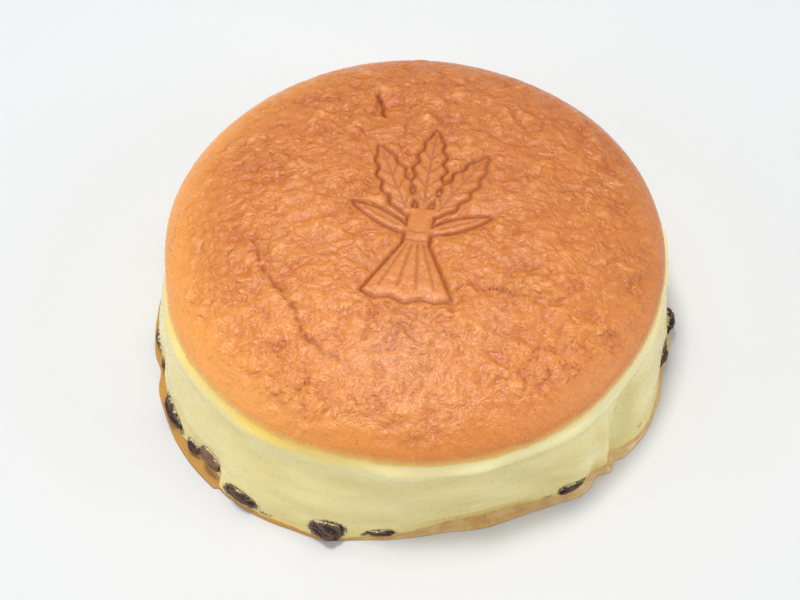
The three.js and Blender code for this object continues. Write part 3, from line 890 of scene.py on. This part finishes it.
def bake_cake():
    """Browned leathery crust above, moist pale crumb on the wall, and tan skin at the foot."""
    r = Recipe("baked_cake")
    from_edge, crease_shade_and_scorch, yolk, leather = [r.mark(name) for name in ("from_edge", "crease_shade_and_scorch", "yolk", "leather")]
    to_right, to_back = r.coordinate("X"), r.coordinate("Y")
    speckle = r.grain(1.6, 4, 0.65)
    fine = r.grain(0.7, 2, 0.7)
    wavy = r.plus(from_edge, r.times(r.grain(7, 3, 0.6, lean=3.1), 3.0))

    # The crust's leather: soft lumps and cobbles, a little drawn out from side to side.
    bent = r.warped(r.place, 0.12, 4, 0.0)
    crumpled = r.warped(bent, 0.4, 2.4, 2.0)
    lump = r.grain(2.6, 3, 0.6, (1.25, 0.9, 1), lean=2.7, on=bent)
    cobble = r.ramp(r.pits(2.7, 1.1, on=crumpled), 0.75, 0.0)
    # The fine cracks between the cobbles, for their painted shade.
    cracks = r.ramp(r.pits(3.6, 4.1, on=crumpled, feature="DISTANCE_TO_EDGE"), 0.1, 0.0)
    cracks = r.times(cracks, r.ramp(r.grain(7, 2, lean=9.3), 0.42, 0.62))
    puckers = r.plus(r.mark("lumps"), r.times(r.minus(lump, 0.5), 2.2))
    # Painted shade in the low places between the lumps, and painted light on their tops.
    sunk = r.times(r.ramp(puckers, 0.2, -0.8), leather)
    raised = r.times(r.ramp(puckers, 0.45, 1.4), leather)

    # The crust's browning, paler to the left and golden at its edge, with painted shade towards the back and
    # painted sheen towards the front.
    brown = r.mix(r.ramp(to_right, -0.075, 0.06), CRUST_LEFT, CRUST_RIGHT)
    brown = r.mix(r.ramp(r.grain(28, 3), 0.35, 0.7), brown, CRUST_BLOTCH)
    brown = r.tint(brown, PALE_GRAIN, 0.4, r.ramp(speckle, 0.45, 0.75))
    brown = r.tint(brown, DARK_GRAIN, 0.4, r.ramp(speckle, 0.5, 0.25))
    brown = r.tint(brown, PALE_SPECK, 0.25, r.ramp(fine, 0.55, 0.72))
    brown = r.tint(brown, DARK_SPECK, 0.25, r.ramp(fine, 0.44, 0.28))
    # Painted shade darkens the back of the crust, and painted sheen lightens its front.
    brown = r.tint(brown, CRUST_BACK_PAINTED_SHADE, 0.55, r.ramp(to_back, -0.06, 0.05))
    brown = r.tint(brown, CRUST_FRONT_PAINTED_SHEEN, 0.28, r.ramp(to_back, -0.015, -0.06))
    # Painted shade in the creases, and the brand's own scorch, in one dark brown.
    brown = r.tint(brown, CREASE_SHADE_AND_SCORCH_BROWN, 0.9, crease_shade_and_scorch)
    # Painted shade between the lumps and painted light on their tops.
    brown = r.tint(brown, SUNK_PAINTED_SHADE, 0.55, sunk)
    brown = r.tint(brown, RAISED_PAINTED_LIGHT, 0.5, raised)
    # Painted shade in the fine cracks between the cobbles.
    brown = r.tint(brown, CRACK_PAINTED_SHADE, 0.65, r.times(cracks, leather))
    # Painted highlight: a pale grainy patch on the front of the crust, where the lamps' sheen falls.
    brown = r.tint(brown, CRUST_PAINTED_HIGHLIGHT, 0.27, r.times(r.mark("painted_highlight"), r.ramp(fine, 0.35, 0.6)))
    brown = r.tint(brown, EDGE_ORANGE, 0.8, r.times(r.ramp(from_edge, 30, 2), r.ramp(to_right, 0.02, -0.085)))
    crust = r.mix(r.ramp(wavy, 5.0, 1.3), brown, r.mix(yolk, EDGE_GOLD, EDGE_YOLK))

    # The wall's custard, with painted light under the crust and on its bulges, painted shade in its folds, and
    # dark flecks round the raisins.
    wall = r.mix(r.ramp(r.grain(8, 3, 0.5, (3, 3, 0.8), 1.7), 0.3, 0.7), CUSTARD, CUSTARD_STREAK)
    # Painted light on the band under the crust, where the wall's ridge faces up.
    wall = r.tint(wall, CUSTARD_TOP_PAINTED_LIGHT, 0.6, r.ramp(wavy, -9, 0))
    # Painted light on the wall's bulges and painted shade in its folds.
    bulge_light_fold_shade = r.mark("bulge_light_fold_shade")
    wall = r.tint(wall, CUSTARD_BULGE_PAINTED_LIGHT, 0.6, r.ramp(bulge_light_fold_shade, 0.1, 1.3))
    wall = r.tint(wall, CUSTARD_FOLD_PAINTED_SHADE, 0.6, r.ramp(bulge_light_fold_shade, -0.2, -1.8))
    patchy = r.ramp(r.grain(22, 2, lean=3.7), 0.2, 0.5)
    wall = r.mix(r.times(r.ramp(wavy, -6, 0.2), r.times(yolk, patchy)), wall, YOLK_BAND)
    wall = r.tint(wall, CUSTARD_FOOT, 0.5, r.ramp(from_edge, -30, -39))
    whole = r.mix(r.ramp(wavy, 0.6, 1.5), wall, crust)
    fleck_and_notch_shade = r.mark("fleck_and_notch_shade")
    flecks = r.plus(fleck_and_notch_shade, r.times(r.grain(0.8, 5, 0.85, lean=7.7), 2.6))
    # Dark flecks round the raisins, and painted shade laid on as flecks in the notch at the skin's upper edge.
    whole = r.mix(r.times(r.ramp(flecks, 1.88, 1.98), r.ramp(fleck_and_notch_shade, 0.02, 0.12)), whole, RAISIN_FLECK)

    # Skin at the foot, golden where it thins out up the wall.
    ragged_skin = r.plus(r.mark("skin"), r.times(r.minus(r.grain(3.2, 4, 0.65, lean=5.3), 0.5), 1.1))
    tan = r.mix(r.ramp(to_right, -0.04, 0.0), SKIN_LEFT, SKIN_RIGHT)
    tan = r.tint(tan, SKIN_BLOTCH, 0.6, r.ramp(r.grain(5, 3, 0.6, lean=8.1), 0.35, 0.7))
    whole = r.mix(r.ramp(ragged_skin, 0.16, 0.5), whole, SKIN_GOLD)
    whole = r.mix(r.ramp(ragged_skin, 0.42, 0.56), whole, tan)
    r.feed(r.shader.inputs["Base Color"], whole)

    # A moist sheen, dull in the creases, and light that sinks a little way in.
    gloss = r.plus(0.21, r.times(r.grain(2.4, 3, 0.6, lean=2.2), 0.16))
    r.feed(r.shader.inputs["Roughness"], r.plus(gloss, r.times(crease_shade_and_scorch, 0.35)))
    r.shader.inputs["Specular IOR Level"].default_value = CAKE_SHINE
    r.shader.inputs["Subsurface Weight"].default_value = CAKE_GLOW
    r.shader.inputs["Subsurface Radius"].default_value = GLOW_REACH
    r.shader.inputs["Subsurface Scale"].default_value = GLOW_SCALE

    # Fine relief: pores, lumps, cobbles and grain on the crust, and soft crumb on the wall.
    on_crust = r.ramp(from_edge, -1, 3)
    pores = r.times(r.ramp(r.pits(1.5, 2.0), 0.22, 0.0), r.ramp(r.grain(11, 2, lean=6.6), 0.4, 0.7))
    r.bumps(r.times(pores, on_crust), -0.35)
    r.bumps(r.times(lump, leather), 0.9)
    r.bumps(r.times(cobble, leather), 0.5)
    r.bumps(r.times(speckle, on_crust), 0.27)
    r.bumps(r.times(fine, on_crust), 0.2)
    r.bumps(r.grain(4, 3, 0.5, (3, 3, 0.5), 4.4), 0.08)
    return r.material


cake_mesh.materials.append(bake_cake())
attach(cake, "root")
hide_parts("cake")


# The raisins, dried grapes that sank through the batter and set in the foot of the wall. Each is plump,
# wrinkled lengthways and half sunk in the wall, and pale batter veils its upper edge.
RUDDY = ("raisin_05",)
TILTS = {"raisin_05": 8, "raisin_07": 20, "raisin_08": -4, "raisin_10": -10, "raisin_11": 14}  # right end down
BALL_STEPS = 5
WRINKLE_STRETCH = (0.7, 1.8, 1.8)  # wrinkles run lengthways
WRINKLE_NOISE = (0.9, 2.1, 4, 1.0, 1.6)  # how it falls off, its steps in size, octaves, offset and gain
WRINKLE_HEIGHT = 0.07
WRINKLE_LIMIT = 2
LUMP_SIZE = 0.9
LUMP_HEIGHT = 0.14
LUMP_SEED = 31
NEXT_RAISIN = 7.7  # each raisin takes its wrinkles from another place in the noise


def raisin_mesh(name, index):
    """A wrinkled raisin that fills its node's place in the wall."""
    middle, angle, long, tall, deep = raisin_place(name)
    bpy.ops.mesh.primitive_ico_sphere_add(subdivisions=BALL_STEPS, radius=1)
    ball = bpy.context.object
    points = np.array([v.co for v in ball.data.vertices])
    shift = Vector((index * NEXT_RAISIN, 0, 0))
    stretched = points * WRINKLE_STRETCH
    folds = np.array([noise.ridged_multi_fractal(Vector(p) + shift, *WRINKLE_NOISE) for p in stretched])
    folds = (folds - folds.mean()) / folds.std()
    wrinkles = WRINKLE_HEIGHT * np.clip(folds, -WRINKLE_LIMIT, WRINKLE_LIMIT)
    body = 1 + wrinkles + LUMP_HEIGHT * hills(points, LUMP_SIZE, LUMP_SEED + index)
    points = points * body[:, None] * (long / 2, deep / 2, tall / 2)
    tilt = np.radians(TILTS.get(name, 0))
    aside = points[:, 0] * np.cos(tilt) + points[:, 2] * np.sin(tilt)
    rise = points[:, 2] * np.cos(tilt) - points[:, 0] * np.sin(tilt)
    out = np.array([np.sin(angle), -np.cos(angle), 0])
    along = np.array([np.cos(angle), np.sin(angle), 0])
    placed = np.outer(aside, along) - np.outer(points[:, 1], out) + np.outer(rise, (0, 0, 1))
    placed += np.array(middle)
    turn = np.degrees(np.arctan2(placed[:, 0], -placed[:, 1]))
    paint(ball.data, "fold", folds)
    paint(ball.data, "upper", rise / (tall / 2))
    paint(ball.data, "ruddy", np.full(len(points), float(name in RUDDY)))
    paint(ball.data, "stands_out", np.hypot(placed[:, 0], placed[:, 1]) - wall_radius(turn, placed[:, 2]))
    ball.data.vertices.foreach_set("co", (placed * MM + np.array(axis)).ravel())
    ball.data.update()
    ball.data.shade_smooth()
    ball.name = name.replace("raisin", "dried_grape")
    return ball


RAISIN_DARK = srgb(44, 29, 25)
RAISIN_RIDGE = srgb(104, 78, 64)
RAISIN_DUST = srgb(140, 114, 92)
RAISIN_RUDDY = srgb(146, 104, 84)
BATTER_VEIL = srgb(222, 210, 164)
RAISIN_SHINE = 0.3


def raisin_skin():
    """Dark, matt and finely creased, browner on the ridges, with shreds of pale batter on it."""
    r = Recipe("raisin_skin")
    dusty = r.grain(0.9, 4, 0.7)
    dark = r.mix(r.ramp(r.mark("fold"), -1.0, 1.6), RAISIN_DARK, RAISIN_RIDGE)
    dark = r.mix(r.ramp(dusty, 0.55, 0.78), dark, RAISIN_DUST)
    dark = r.tint(dark, RAISIN_RUDDY, 0.6, r.mark("ruddy"))
    lifted = r.minus(r.mark("stands_out"), r.times(r.mark("upper"), 0.9))
    veil = r.plus(lifted, r.times(r.grain(1.3, 5, 0.85, lean=4.2), 6.5))
    r.feed(r.shader.inputs["Base Color"], r.mix(r.ramp(veil, 2.75, 2.55), dark, BATTER_VEIL))
    r.feed(r.shader.inputs["Roughness"], r.plus(0.38, r.times(dusty, 0.3)))
    r.shader.inputs["Specular IOR Level"].default_value = RAISIN_SHINE
    r.bumps(r.grain(0.7, 4, 0.65, lean=1.2), 0.3)
    return r.material


skin_of_raisin = raisin_skin()
for index, name in enumerate(RAISIN_NODES):
    raisin = raisin_mesh(name, index)
    raisin.data.materials.append(skin_of_raisin)
    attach(raisin, "root")
    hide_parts(name)
